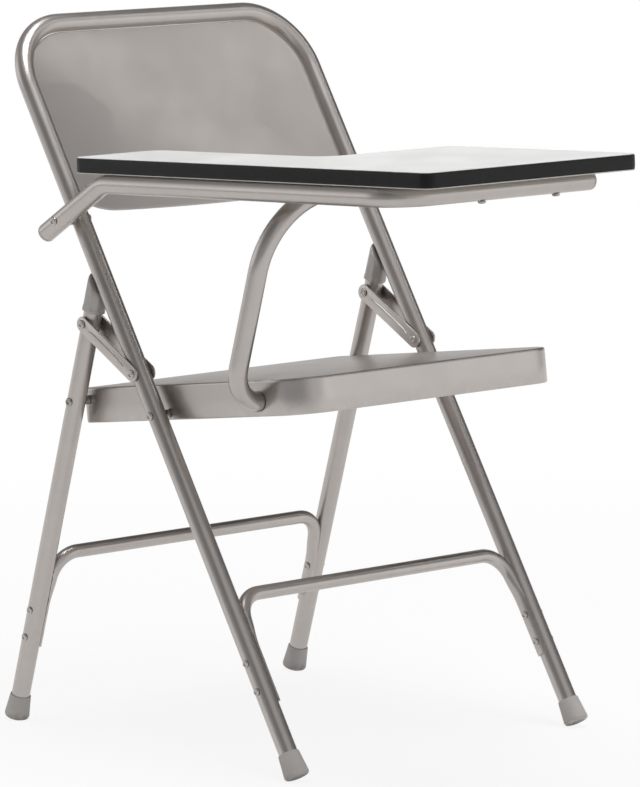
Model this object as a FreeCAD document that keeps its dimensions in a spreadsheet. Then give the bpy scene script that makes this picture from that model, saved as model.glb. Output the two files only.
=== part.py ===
import FreeCAD, Part
import math
import os
from FreeCAD import Placement, Rotation, Vector

os.makedirs("parts", exist_ok=True)
doc = FreeCAD.newDocument("tablet_arm_chair")

# Millimetres and degrees. The chair faces -Y; the sitter's right-hand side is -X.
SIZES = {
    "tube_od": 22.2,
    "tube_wall": 1.2,
    "half_width": 226.9,
    "front_reach": 230.0,
    "post_lean": 31.47,
    "rear_reach": 265.0,
    "rear_lean": 16.17,
    "post_length": 967.4,
    "bow_radius": 80.0,
    "tube_lift": 14.0,
    "floor_drop": 4.6,
    "foot_wall_low": 4.2,
    "foot_wall_rim": 1.3,
    "foot_height": 29.6,
    "foot_round": 4.0,
    "foot_flat": 0.6,
    "top_cap_wall": 0.9,
    "top_cap_length": 49.8,
    "top_cap_clear": 0.1,
    "panel_low": 720.9,
    "panel_sheet": 1.2,
    "panel_dish": 8.0,
    "panel_corner": 15.0,
    "brace_od": 16.3,
    "brace_wall": 0.9,
    "brace_bend": 34.0,
    "front_brace_height": 225.2,
    "rear_brace_height": 209.4,
    "brace_end": 92.0,
    "brace_inset": 12.0,
    "saddle_sheet": 1.8,
    "saddle_flare": 1.4,
    "front_rivet_low": 108.8,
    "front_rivet_high": 143.9,
    "rear_rivet_low": 104.1,
    "rear_rivet_high": 139.3,
    "brace_rivet": 5.0,
    "brace_rivet_head": 9.0,
    "brace_rivet_rise": 1.6,
    "rivet": 6.0,
    "rivet_head": 12.6,
    "rivet_rise": 2.0,
    "running_fit": 0.05,
    "seam": 0.3,
    "link_over_seat_pivot": 54.3,
    "link_over_leg_pivot": 98.5,
    "link_width": 18.0,
    "link_sheet": 2.2,
    "link_rib_width": 5.0,
    "link_rib_rise": 0.9,
    "link_rib_inset": 18.0,
    "spacer_od": 10.6,
    "seat_pivot": 456.9,
    "seat_pivot_back": 229.8585,
    "seat_pivot_drop": 34.1493,
    "leg_pivot_drop": 13.9228,
    "seat_gap": 6.8,
    "seat_behind_leg": 11.7558,
    "seat_depth": 41.5,
    "seat_sheet": 1.2,
    "seat_slope": 7.42,
    "seat_front_corner": 45.0,
    "seat_rear_corner": 12.0,
    "seat_edge_round": 5.0,
    "strut_od": 22.2,
    "strut_wall": 1.2,
    "strut_stand": 42.0,
    "strut_tuck": 13.0,
    "strut_low_bend": 40.0,
    "strut_high_bend": 90.0,
    "strut_foot_back": 73.0,
    "strut_foot_drop": 23.8,
    "strut_top_front": 213.8924,
    "strut_top_run": 151.0,
    "keeper_wall": 4.0,
    "keeper_sheet": 2.0,
    "arm_gap": 7.9,
    "arm_pivot": 712.0,
    "arm_tail": 28.5,
    "arm_bend_back": 66.0,
    "arm_rear_bend": 40.0,
    "arm_front_bend": 45.0,
    "arm_front_run": 424.0,
    "arm_end_short": 35.0,
    "plug_rise": 5.5,
    "plug_depth": 10.0,
    "tablet_slope": 2.325,
    "tablet_rise": 80.8655,
    "tablet_ahead": 141.7011,
    "tablet_core": 17.0,
    "tablet_laminate": 0.8,
    "tablet_backer": 0.7,
    "tablet_band": 1.6,
    "tablet_bevel": 0.4,
    "tablet_overhang": 7.0,
    "tablet_width": 334.0,
    "tablet_neck": 134.0,
    "tablet_back": 116.5,
    "tablet_step": 171.0,
    "tablet_front": 475.0,
    "corner_back_outer": 18.0,
    "corner_back_inner": 20.0,
    "corner_hollow": 30.0,
    "corner_step": 24.0,
    "corner_front_inner": 18.0,
    "corner_front_outer": 14.0,
    "screw": 4.2,
    "screw_head": 9.5,
    "screw_rise": 3.0,
    "screw_bite": 11.0,
    "screw_near": 131.6,
    "screw_far": 248.0,
    "rest_half": 30.0,
    "rest_sheet": 2.0,
    "rest_lip": 11.0,
    "rest_gap": 3.3,
    "rest_slack": 2.0,
    "rest_corner": 6.0,
    "rest_edge": 0.5,
}

AXIS_X = Vector(1, 0, 0)
UP = Vector(0, 0, 1)
OVER = 1.0
SAME_LEVEL = 1e-4
sheet = doc.addObject("Spreadsheet::Sheet", "Sizes")
for row, (alias, value) in enumerate(SIZES.items(), start=1):
    sheet.set("A%d" % row, alias)
    sheet.set("B%d" % row, str(value))
    sheet.setAlias("B%d" % row, alias)
doc.recompute()
nodes = []


def size(alias):
    return float(sheet.get(alias))


def turn_x(degrees, base):
    return Placement(base, Rotation(AXIS_X, degrees))


# Local Y runs up the post and up the rear leg.
POST = turn_x(90 - size("post_lean"), Vector(0, -size("front_reach"), 0))
REAR = turn_x(90 + size("rear_lean"), Vector(0, size("rear_reach"), 0))
SIDES = (("right", -1), ("left", 1))


def post(s, x=0.0, rearward=0.0):
    return POST.multVec(Vector(x, s, -rearward))


def rear(s, x=0.0):
    return REAR.multVec(Vector(x, s, 0))


def hung_from(point, slope, back, drop):
    """A frame turned by slope in which the point lies back behind its origin and drop below it."""
    turn = Rotation(AXIS_X, -slope)
    return Placement(point - turn.multVec(Vector(0, back, -drop)), turn)


def seat_frame():
    return hung_from(post(size("seat_pivot")), size("seat_slope"), size("seat_pivot_back"),
                     size("seat_pivot_drop"))


def tablet_frame():
    pivot = post(size("arm_pivot"))
    base = pivot + Vector(0, -size("tablet_ahead"), size("tablet_rise"))
    return turn_x(-size("tablet_slope"), base)


# Local Y runs back along the seat from its front edge, and back along the tablet.
SEAT = seat_frame()
TABLET = tablet_frame()


def leg_at_seat_level(drop):
    """How far up the rear leg its axis passes a level under the seat's top."""
    to_seat = SEAT.inverse()
    foot, up = to_seat.multVec(rear(0)), to_seat.Rotation.multVec(REAR.Rotation.multVec(Vector(0, 1, 0)))
    return (-drop - foot.z) / up.z


def leg_at_post():
    """How far up the rear leg its axis meets the line of the posts."""
    to_post = POST.inverse()
    foot, up = to_post.multVec(rear(0)), to_post.Rotation.multVec(REAR.Rotation.multVec(Vector(0, 1, 0)))
    return -foot.z / up.z


half = size("half_width")
tube_r = size("tube_od") / 2
seam = size("seam")
outer_face = half + tube_r
inner_face = half - tube_r
seat_side = inner_face - size("seat_gap")
strut_out = seat_side + size("strut_stand")
arm_out = half + size("tube_od") + size("arm_gap")
tablet_outer = arm_out + size("tablet_overhang")
seat_on_leg = leg_at_seat_level(size("leg_pivot_drop"))
link_on_post = size("seat_pivot") + size("link_over_seat_pivot")
link_on_leg = seat_on_leg + size("link_over_leg_pivot")
seat_length = SEAT.inverse().multVec(rear(seat_on_leg)).y + size("seat_behind_leg")
tablet_thickness = size("tablet_core") + size("tablet_laminate") + size("tablet_backer")
REACH = 2 * half
FAR = 2 * size("post_length")


def add(kind, name, **values):
    """A document object; values with an @ become expressions over the sheet."""
    thing = doc.addObject(kind, name)
    for key, value in values.items():
        if isinstance(value, str) and "@" in value:
            thing.setExpression(key, value.replace("@", "Sizes."))
        else:
            setattr(thing, key, value)
    return thing


def node(thing, label):
    thing.Label = label
    nodes.append(thing)
    return thing


def look_along(axis):
    return Rotation(UP, axis)


def rod(name, radius, length, base, axis):
    place = Placement(base, look_along(axis))
    return add("Part::Cylinder", name, Radius=radius, Height=length, Placement=place)


def span_rod(name, radius, start, end):
    """A rod of expression radius between two points."""
    line = end - start
    return rod(name, radius, line.Length, start, line)


def dome(name, radius, rise, base, axis):
    place = Placement(base, look_along(axis))
    return add("Part::Ellipsoid", name, Radius1=rise, Radius2=radius, Radius3=radius, Angle1=0,
               Placement=place)


def join(name, shapes):
    return add("Part::MultiFuse", name, Shapes=shapes)


def group(name, links):
    return add("Part::Compound", name, Links=links)


def cut(name, base, tools):
    tool = tools[0] if len(tools) == 1 else join(name + "_tools", tools)
    return add("Part::Cut", name, Base=base, Tool=tool)


def overlap(name, shapes):
    return add("Part::MultiCommon", name, Shapes=shapes)


def ring(name, outer, inner, start, end):
    over = (end - start).normalize() * OVER
    bore = span_rod(name + "_bore", inner, start - over, end + over)
    return cut(name, span_rod(name + "_body", outer, start, end), [bore])


def ground(name):
    """A slab under the floor."""
    place = Placement(Vector(-FAR / 2, -FAR / 2, -FAR - size("floor_drop")), Rotation())
    return add("Part::Box", name, Length=FAR, Width=FAR, Height=FAR, Placement=place)


def rounded(points, closed):
    """A wire through the points (each a vector and a corner radius) with tangent arcs at the corners."""
    count = len(points)
    corners = []
    for i, (here, radius) in enumerate(points):
        if not closed and i in (0, count - 1):
            corners.append((here, None, here))
            continue
        back = (points[i - 1][0] - here).normalize()
        ahead = (points[(i + 1) % count][0] - here).normalize()
        half_angle = back.getAngle(ahead) / 2
        reach = radius / math.tan(half_angle)
        middle = (back + ahead).normalize() * (radius / math.sin(half_angle) - radius)
        corners.append((here + back * reach, here + middle, here + ahead * reach))
    edges = []
    for i, (start, middle, end) in enumerate(corners):
        if middle is not None:
            edges.append(Part.Arc(start, middle, end).toShape())
        if closed or i < count - 1:
            edges.append(Part.LineSegment(end, corners[(i + 1) % count][0]).toShape())
    return Part.Wire(edges)


def sweep(name, radius, points):
    """A rod of expression radius along the points."""
    spine = doc.addObject("Part::Feature", name + "_path")
    spine.Shape = rounded(points, False)
    start = points[0][0]
    place = Placement(start, look_along(points[1][0] - start))
    profile = add("Part::Circle", name + "_profile", Radius=radius, Placement=place)
    edges = ["Edge%d" % (i + 1) for i in range(len(spine.Shape.Edges))]
    return add("Part::Sweep", name, Sections=[profile], Spine=(spine, edges), Solid=True, Frenet=False)


def tube(name, kind, points):
    """A bent tube whose diameter and wall are the kind's sizes."""
    outer = sweep(name + "_outer", "@%s_od / 2" % kind, points)
    inner = sweep(name + "_inner", "@%s_od / 2 - @%s_wall" % (kind, kind), points)
    return cut(name, outer, [inner])


def plate(name, points, place, low, thickness):
    """A closed outline in the local plane, thickness up from the level low."""
    outline = doc.addObject("Part::Feature", name + "_outline")
    outline.Shape = rounded([(Vector(x, y, low), r) for x, y, r in points], True)
    outline.Placement = place
    return add("Part::Extrusion", name, Base=outline, DirMode="Custom", Solid=True,
               Dir=place.Rotation.multVec(UP), LengthFwd=thickness)


def eased(name, block, point, normal, radius):
    """The block with its edges in the plane through a point rounded."""
    doc.recompute()
    edges = [i for i, edge in enumerate(block.Shape.Edges, start=1)
             if all(abs((v.Point - point).dot(normal)) < SAME_LEVEL for v in edge.Vertexes)]
    return add("Part::Fillet", name, Base=block, Edges=[(i, radius, radius) for i in edges])


def across(point, x):
    return Vector(x, point.y, point.z)


def hole(name, kind, point, x_from=-REACH, x_to=REACH):
    """A clearance rod along X for a pin of the kind's diameter."""
    return span_rod(name, "@%s / 2 + @running_fit" % kind, across(point, x_from), across(point, x_to))


def rivet(name, point, x_out, x_in, kind="rivet"):
    """Shank along X with a dome at each end."""
    away = AXIS_X * math.copysign(1, x_out - x_in)
    outer, inner = across(point, x_out), across(point, x_in)
    shapes = [span_rod(name + "_shank", "@%s / 2" % kind, inner, outer)]
    for i, (base, axis) in enumerate(((outer, away), (inner, away * -1))):
        shapes.append(dome("%s_head%d" % (name, i), "@%s_head / 2" % kind, "@%s_rise" % kind, base, axis))
    return join(name, shapes)


def pair(label, maker):
    """The same piece on both sides, kept as separate solids of one node."""
    return node(group(label, [maker(side, sign) for side, sign in SIDES]), label)


def front_frame():
    lift, top, bend = size("tube_lift"), size("post_length"), size("bow_radius")
    points = [(post(lift, -half), 0), (post(top, -half), bend),
              (post(top, half), bend), (post(lift, half), 0)]
    spots = {"link": link_on_post, "seat": size("seat_pivot")}
    holes = [hole("frame_hole_" + name, "rivet", post(s)) for name, s in spots.items()]
    for alias in ("front_rivet_low", "front_rivet_high"):
        holes.append(hole("frame_hole_" + alias, "brace_rivet", post(size(alias))))
    holes.append(hole("frame_hole_arm", "rivet", post(size("arm_pivot")), -REACH, 0))
    node(cut("front_frame", tube("frame_tube", "tube", points), holes), "front_frame")


def backrest_panel():
    low, high = size("panel_low"), size("post_length") - tube_r - seam
    wide, dish, thick = inner_face - seam, size("panel_dish"), size("panel_sheet")
    top_corner, low_corner = size("bow_radius") - tube_r - seam, size("panel_corner")
    near, far = [[post(0, -wide, depth), post(0, 0, dish + depth), post(0, wide, depth)]
                 for depth in (0.0, thick)]
    edges = [Part.Arc(*near).toShape(), Part.LineSegment(near[2], far[2]).toShape(),
             Part.Arc(*far).toShape(), Part.LineSegment(far[0], near[0]).toShape()]
    section = doc.addObject("Part::Feature", "panel_section")
    section.Shape = Part.Wire(Part.sortEdges(edges)[0])
    band = add("Part::Extrusion", "panel_band", Base=section, DirMode="Custom", Solid=True,
               Dir=POST.Rotation.multVec(Vector(0, 1, 0)), LengthFwd="@post_length")
    outline = [(-wide, low, low_corner), (wide, low, low_corner),
               (wide, high, top_corner), (-wide, high, top_corner)]
    block = plate("panel_block", outline, POST, -2 * dish - thick, "@panel_dish * 4 + @panel_sheet * 2")
    node(overlap("backrest_panel", [band, block]), "backrest_panel")


def saddle_depth(s, press_end):
    """How thick the pressed end of a brace is at a height up the leg."""
    return size("saddle_sheet") * (1 + (size("saddle_flare") - 1) * s / press_end)


def brace(label, place, height, rivets):
    """A cross tube whose ends turn down the legs and are pressed to saddles round them."""
    run, end, bend = half - size("brace_inset"), size("brace_end"), size("brace_bend")
    press_end = height - bend
    along = place.Rotation.multVec(Vector(0, 1, 0))

    def spot(x, s):
        return place.multVec(Vector(x, s, 0))

    points = [(spot(-run, end), 0), (spot(-run, height), bend),
              (spot(run, height), bend), (spot(run, end), 0)]
    trims = [span_rod(label + "_hollow", "@brace_od / 2 - @brace_wall", spot(bend - run, height),
                      spot(run - bend, height))]
    for side, sign in SIDES:
        base = spot(sign * half, 0)
        leg = rod(label + "_leg_" + side, "@tube_od / 2 + @seam", "@post_length", base, along)
        press = rod(label + "_press_" + side, "@tube_od / 2 + @seam + @brace_od * 2", press_end, base,
                    along)
        keep = add("Part::Cone", label + "_keep_" + side, Height=press_end,
                   Radius1="@tube_od / 2 + @seam + @saddle_sheet",
                   Radius2="@tube_od / 2 + @seam + @saddle_sheet * @saddle_flare",
                   Placement=Placement(base, look_along(along)))
        trims += [leg, cut(label + "_waste_" + side, press, [keep])]
    trims += [hole("%s_hole%d" % (label, i), "brace_rivet", spot(0, s)) for i, s in enumerate(rivets)]
    node(cut(label, sweep(label + "_rod", "@brace_od / 2", points), trims), label)

    pins = []
    for side, sign in SIDES:
        for i, s in enumerate(rivets):
            inside = inner_face - seam * 2 - saddle_depth(s, press_end)
            pins.append(rivet("%s_%s_%d" % (label, side, i), spot(0, s), sign * (outer_face + seam),
                              sign * inside, "brace_rivet"))
    node(group(label + "_rivets", pins), label + "_rivets")


def sole_height(lean):
    """How far up its leg a foot's sole lies when the sole's rounded edge dips just under the floor."""
    turn, bend = math.radians(size(lean)), size("foot_round")
    reach = tube_r + size("foot_wall_low") - bend
    dip = reach * math.sin(turn) + bend - size("floor_drop") - size("foot_flat")
    return dip / math.cos(turn) - bend


def foot_cap(label, place, lean, sign):
    """A cup square to its leg, flattened where its edge stands on the floor."""
    along = place.Rotation.multVec(Vector(0, 1, 0))
    sole = place.multVec(Vector(sign * half, sole_height(lean), 0))
    tube_end = place.multVec(Vector(sign * half, size("tube_lift") - seam, 0))
    shell = add("Part::Cone", label + "_shell", Radius1="@tube_od / 2 + @foot_wall_low",
                Radius2="@tube_od / 2 + @foot_wall_rim", Height="@foot_height",
                Placement=Placement(sole, look_along(along)))
    cup = eased(label + "_cup", shell, sole, along, size("foot_round"))
    bore = rod(label + "_bore", "@tube_od / 2 + @running_fit", "@foot_height", tube_end, along)
    node(cut(label, cup, [bore, ground(label + "_ground")]), label)


def slant(name, rearward):
    """Everything in front of a plane behind the posts, which trims the tops of the rear legs."""
    place = Placement(post(-FAR / 2, -FAR / 2, rearward), POST.Rotation)
    return add("Part::Box", name, Length=FAR, Width=2 * FAR, Height=FAR, Placement=place)


def rear_leg(side, sign):
    x = sign * half
    crossing = leg_at_post()
    top = rear(crossing + tube_r, x)
    cap_face = tube_r + seam + size("top_cap_clear")
    label = "rear_leg_" + side
    straight = ring(label + "_tube", "@tube_od / 2", "@tube_od / 2 - @tube_wall",
                    rear(size("tube_lift"), x), top)
    holes = [hole("%s_hole_%d" % (label, i), "rivet", rear(s))
             for i, s in enumerate((link_on_leg, seat_on_leg))]
    for alias in ("rear_rivet_low", "rear_rivet_high"):
        holes.append(hole(label + alias, "brace_rivet", rear(size(alias))))
    holes.append(slant(label + "_slant", cap_face + size("top_cap_wall") + seam))
    node(cut(label, straight, holes), label)

    cap = "rear_leg_cap_" + side
    low = crossing - size("top_cap_length")
    shell = span_rod(cap + "_shell", "@tube_od / 2 + @top_cap_clear + @top_cap_wall", rear(low, x), top)
    bore = span_rod(cap + "_bore", "@tube_od / 2 + @running_fit", rear(low - OVER, x), top)
    room = cut(cap + "_room", bore, [slant(cap + "_inner", cap_face + size("top_cap_wall"))])
    mouth = hole(cap + "_mouth", "rivet_head", rear(link_on_leg))
    node(cut(cap, shell, [room, slant(cap + "_outer", cap_face), mouth]), cap)


def bar(name, alias, first, last, flat, depth):
    """A round-ended bar between two points, its width one of the sizes, depth thick along flat."""
    width = "@%s" % alias
    line = (last - first).normalize()
    aside = flat.cross(line)
    shapes = [rod("%s_end%d" % (name, i), width + " / 2", depth, p, flat)
              for i, p in enumerate((first, last))]
    place = Placement(first - aside * (size(alias) / 2), Rotation(line, aside, flat, "XYZ"))
    shapes.append(add("Part::Box", name + "_middle", Length=(last - first).Length, Width=width,
                      Height=depth, Placement=place))
    return join(name, shapes)


def hinge_link(label, x_from, sign):
    """A plate from the post's pivot to the rear leg's, with a rib on the side turned from the tubes."""
    ends = [across(post(link_on_post), x_from), across(rear(link_on_leg), x_from)]
    flat = AXIS_X * sign
    body = bar(label + "_bar", "link_width", *ends, flat, "@link_sheet")
    inset = (ends[1] - ends[0]).normalize() * size("link_rib_inset")
    face = flat * size("link_sheet")
    rib = bar(label + "_rib", "link_rib_width", ends[0] + inset + face, ends[1] - inset + face, flat,
              "@link_rib_rise")
    holes = [hole("%s_hole%d" % (label, i), "rivet", p) for i, p in enumerate(ends)]
    node(cut(label, join(label + "_solid", [body, rib]), holes), label)


def links():
    stand = size("top_cap_wall") + seam
    for side, sign in SIDES:
        hinge_link("hinge_link_outer_" + side, sign * (outer_face + stand), sign)
        hinge_link("hinge_link_inner_" + side, sign * (inner_face - stand), -sign)
    reach = size("link_sheet") + stand + seam
    for label, point in (("post_link_rivets", post(link_on_post)), ("leg_link_rivets", rear(link_on_leg))):
        pins = [rivet("%s_%s" % (label, side), point, sign * (outer_face + reach),
                      sign * (inner_face - reach)) for side, sign in SIDES]
        node(group(label, pins), label)


def seat_outline(inset):
    wide, back = seat_side - inset, seat_length - inset
    front_r, rear_r = size("seat_front_corner") - inset, size("seat_rear_corner") - inset
    return [(-wide, inset, front_r), (wide, inset, front_r), (wide, back, rear_r), (-wide, back, rear_r)]


def seat_block(name, inset, low, drop):
    """The seat's outline as a block with its top edge rounded."""
    block = plate(name + "_block", seat_outline(inset), SEAT, low, -drop - low)
    top, normal = SEAT.multVec(Vector(0, 0, -drop)), SEAT.Rotation.multVec(UP)
    return eased(name, block, top, normal, size("seat_edge_round") - inset)


def strut_foot(x):
    return SEAT.multVec(Vector(x, size("strut_foot_back"), -size("strut_foot_drop")))


def seat_pan():
    depth, thick = size("seat_depth"), size("seat_sheet")
    shell = seat_block("seat_shell", 0.0, -depth, 0.0)
    room = seat_block("seat_room", thick, -depth - OVER, thick)
    pivot = hole("seat_pivot_hole", "rivet", post(size("seat_pivot")))
    mouth = hole("seat_strut_hole", "strut_od", strut_foot(0), -REACH, 0)
    node(cut("seat_pan", shell, [room, pivot, mouth]), "seat_pan")


def seat_pivots():
    front, back = post(size("seat_pivot")), rear(seat_on_leg)
    by_seat, by_tube, by_head = seat_side + seam, inner_face - seam, outer_face + seam

    def pin(side, sign):
        inside = seat_side - size("seat_sheet") - seam
        return rivet("seat_rivet_" + side, front, sign * by_head, sign * inside)

    def bush(side, sign):
        return ring("seat_pivot_bush_" + side, "@spacer_od / 2", "@rivet / 2 + @running_fit",
                    across(front, sign * by_seat), across(front, sign * by_tube))

    def stub(side, sign):
        name = "seat_stub_" + side
        ends = [across(back, sign * x) for x in (by_seat, by_tube, by_head)]
        return join(name, [span_rod(name + "_spacer", "@spacer_od / 2", ends[0], ends[1]),
                           span_rod(name + "_shank", "@rivet / 2", ends[1], ends[2]),
                           dome(name + "_head", "@rivet_head / 2", "@rivet_rise", ends[2], AXIS_X * sign)])

    pair("seat_pivot_rivets", pin)
    pair("seat_pivot_bushes", bush)
    pair("seat_rear_stubs", stub)


def under_tablet(x, y, drop):
    return TABLET.multVec(Vector(x, y, -drop))


def strut():
    foot = strut_foot(0)
    clear = tablet_thickness + size("rest_sheet") + size("rest_gap") + size("strut_od") / 2
    top = under_tablet(0, -size("strut_top_front"), clear)
    ends = [across(foot, -seat_side + size("strut_tuck")), across(top, -strut_out + size("strut_top_run"))]
    points = [(ends[0], 0), (across(foot, -strut_out), size("strut_low_bend")),
              (across(top, -strut_out), size("strut_high_bend")), (ends[1], 0)]
    node(tube("strut_tube", "strut", points), "strut_tube")

    inside = -seat_side + size("seat_sheet") + seam
    keeper = ring("strut_keeper", "@strut_od / 2 + @keeper_wall", "@strut_od / 2 + @running_fit",
                  across(foot, inside), across(foot, inside + size("keeper_sheet")))
    node(keeper, "strut_keeper")
    plugs = [plug("strut_plug_%d" % i, "strut", base, AXIS_X) for i, base in enumerate(ends)]
    node(group("strut_end_plugs", plugs), "strut_end_plugs")


def plug(name, kind, base, axis):
    """A domed stopper for a tube's end."""
    over = base + axis * (seam / 2)
    neck = span_rod(name + "_neck", "@%s_od / 2 - @%s_wall - @running_fit" % (kind, kind),
                    base - axis * size("plug_depth"), over)
    return join(name, [neck, dome(name + "_dome", "@%s_od / 2" % kind, "@plug_rise", over, axis)])


def screw_lines(rise):
    """For each screw, a point just below the arm's front run and one rise above the run's underside."""
    low = tablet_thickness + seam * 2 + tube_r * 2
    lines = []
    for alias in ("screw_near", "screw_far"):
        x, y = -tablet_outer + size(alias), -size("arm_front_run")
        lines.append((under_tablet(x, y, low + OVER), under_tablet(x, y, low - rise)))
    return lines


def screw_holes(name):
    rise = tube_r * 2 + size("screw_bite") + OVER
    return [span_rod("%s_hole_%d" % (name, i), "@screw / 2 + @running_fit", *ends)
            for i, ends in enumerate(screw_lines(rise))]


def arm():
    drop = tablet_thickness + seam + tube_r
    front, tip_x = -size("arm_front_run"), -tablet_outer + size("tablet_width") - size("arm_end_short")
    pivot = across(post(size("arm_pivot")), -arm_out)
    bend = under_tablet(-arm_out, size("arm_bend_back"), drop)
    backward = (pivot - bend).normalize()
    tail, tip = pivot + backward * size("arm_tail"), under_tablet(tip_x, front, drop)
    points = [(tail, 0), (bend, size("arm_rear_bend")),
              (under_tablet(-arm_out, front, drop), size("arm_front_bend")), (tip, 0)]
    holes = [hole("arm_hole", "rivet", pivot, -REACH, 0)] + screw_holes("arm")
    node(cut("arm_tube", tube("arm_pipe", "tube", points), holes), "arm_tube")
    plugs = [plug("arm_plug_0", "tube", tail, backward), plug("arm_plug_1", "tube", tip, AXIS_X)]
    node(group("arm_end_plugs", plugs), "arm_end_plugs")

    node(rivet("arm_rivet", pivot, -arm_out - tube_r - seam, -inner_face + seam), "arm_rivet")
    spacer = ring("arm_spacer", "@rivet_head / 2", "@rivet / 2 + @running_fit",
                  across(pivot, -outer_face - seam), across(pivot, -arm_out + tube_r + seam))
    node(spacer, "arm_spacer")


def tablet_outline(inset):
    outer, back, front = -tablet_outer + inset, size("tablet_back") - inset, -size("tablet_front") + inset
    neck, inner = [-tablet_outer + size(alias) - inset for alias in ("tablet_neck", "tablet_width")]
    step = -size("tablet_step") - inset
    corners = [(outer, back, "corner_back_outer"), (neck, back, "corner_back_inner"),
               (neck, step, "corner_hollow"), (inner, step, "corner_step"),
               (inner, front, "corner_front_inner"), (outer, front, "corner_front_outer")]
    grow = {"corner_hollow": inset}
    return [(x, y, size(alias) + grow.get(alias, -inset)) for x, y, alias in corners]


def tablet():
    top, bevel, band = size("tablet_laminate"), size("tablet_bevel"), size("tablet_band")
    low = -top - size("tablet_core")
    core = plate("core_block", tablet_outline(band), TABLET, low, "@tablet_core")
    node(cut("tablet_core", core, screw_holes("core")), "tablet_core")
    face = plate("tablet_laminate", tablet_outline(bevel), TABLET, -top, "@tablet_laminate")
    node(face, "tablet_laminate")
    backer_low = low - size("tablet_backer")
    backer = plate("backer_block", tablet_outline(bevel), TABLET, backer_low, "@tablet_backer")
    node(cut("tablet_backer", backer, screw_holes("backer")), "tablet_backer")
    outer = plate("band_outer", tablet_outline(0.0), TABLET, low, "@tablet_core")
    inner = plate("band_inner", tablet_outline(band), TABLET, low, "@tablet_core")
    node(cut("tablet_edge_band", outer, [inner]), "tablet_edge_band")

    screws = []
    for i, (start, end) in enumerate(screw_lines(tube_r * 2 + size("screw_bite"))):
        up = (end - start).normalize()
        under_run = start + up * OVER
        shank = span_rod("screw_shank_%d" % i, "@screw / 2", under_run, end)
        head = dome("screw_dome_%d" % i, "@screw_head / 2", "@screw_rise", under_run, up * -1)
        screws.append(join("screw_%d" % i, [shank, head]))
    node(group("tablet_screws", screws), "tablet_screws")


def rest_plate():
    """The plate under the tablet that the strut's top run stands against, with a lip behind it."""
    wide, thick, lip = size("rest_half"), size("rest_sheet"), size("rest_lip")
    corner, edge = size("rest_corner"), size("rest_edge")
    x_high = -strut_out + size("strut_top_run")
    x_low = x_high - 2 * wide
    low = -tablet_thickness - thick
    back = -size("strut_top_front") + size("strut_od") / 2 + size("rest_slack")
    front, behind = back - 2 * wide, back + thick
    base = plate("rest_flat", [(x_low, front, corner), (x_high, front, corner),
                               (x_high, behind, edge), (x_low, behind, edge)], TABLET, low, "@rest_sheet")
    tongue = plate("rest_tongue", [(x_low, back, edge), (x_high, back, edge),
                                   (x_high, behind, edge), (x_low, behind, edge)], TABLET, low - lip,
                   "@rest_lip + @rest_sheet")
    node(join("strut_rest_plate", [base, tongue]), "strut_rest_plate")


def build():
    front_frame()
    backrest_panel()
    for end, place in (("front", POST), ("rear", REAR)):
        rivets = [size("%s_rivet_%s" % (end, level)) for level in ("low", "high")]
        brace(end + "_brace", place, size(end + "_brace_height"), rivets)
    for side, sign in SIDES:
        foot_cap("front_foot_cap_" + side, POST, "post_lean", sign)
        foot_cap("rear_foot_cap_" + side, REAR, "rear_lean", sign)
        rear_leg(side, sign)
    links()
    seat_pan()
    seat_pivots()
    strut()
    arm()
    tablet()
    rest_plate()
    doc.recompute()


def check(things):
    for thing in doc.Objects:
        if {"Invalid", "Error"} & set(thing.State):
            raise RuntimeError("%s is %s" % (thing.Name, thing.State))
    for thing in things:
        if thing.Shape.isNull() or not thing.Shape.isValid() or not thing.Shape.Solids:
            raise RuntimeError("%s has no sound solid" % thing.Label)


def centred(things):
    """The shift that puts the middle of the whole chair's box over the origin, on the floor."""
    box = FreeCAD.BoundBox()
    for thing in things:
        box.add(thing.Shape.optimalBoundingBox(False))
    return Vector(-box.Center.x, -box.Center.y, -box.ZMin)


build()
check(nodes)
shift = centred(nodes)
print("shift", [round(v, 4) for v in shift])
for thing in nodes:
    shape = thing.Shape.copy()
    shape.translate(shift)
    shape.exportStep("parts/%s.step" % thing.Label)
print(len(nodes), "nodes")
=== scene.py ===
import math
from contextlib import contextmanager

import bmesh
import bpy
from mathutils import Matrix, Vector


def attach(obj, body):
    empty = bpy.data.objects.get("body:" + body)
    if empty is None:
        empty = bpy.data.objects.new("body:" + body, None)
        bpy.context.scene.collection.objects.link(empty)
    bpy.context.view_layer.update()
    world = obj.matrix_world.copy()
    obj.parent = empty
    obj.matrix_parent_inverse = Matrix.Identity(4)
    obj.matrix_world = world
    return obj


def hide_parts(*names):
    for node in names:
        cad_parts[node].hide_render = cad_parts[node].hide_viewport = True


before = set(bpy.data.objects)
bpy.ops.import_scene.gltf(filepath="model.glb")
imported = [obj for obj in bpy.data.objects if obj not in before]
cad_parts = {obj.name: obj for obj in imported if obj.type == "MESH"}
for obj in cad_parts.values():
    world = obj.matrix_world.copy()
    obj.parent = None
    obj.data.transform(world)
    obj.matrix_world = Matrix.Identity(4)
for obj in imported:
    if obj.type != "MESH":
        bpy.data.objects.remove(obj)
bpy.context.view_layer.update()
scene = bpy.context.scene

# Millimetres in the chair's own frame: the sitter faces -Y and the sitter's right-hand side is -X.
MM = 0.001
SHIFT = Vector((13.35, 94.599, 4.6))
SIDES = (-1, 1)
FIT = 0.3

# The frame's tubes: half widths across, and lengths up from the floor along the leaning tubes
TUBE_R = 11.1
HALF = 226.9
OUTER = HALF + TUBE_R
INNER = HALF - TUBE_R
TUBE_FOOT = 14.3
FRONT_FOOT_Y = -230.0
POST_LEAN = 31.47
POST_TOP = 967.38
BOW_BEND = 80.0
REAR_FOOT_Y = 265.0
REAR_LEAN = 16.17
REAR_TOP = 545.0

# Hinge links
LINK_OUT = 1.2
LINK_SHEET = 2.2
LINK_HALF = 9.0
HIDDEN_LINK_HALF = 9.8
HEAD_OUT = LINK_OUT + LINK_SHEET + FIT

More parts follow.
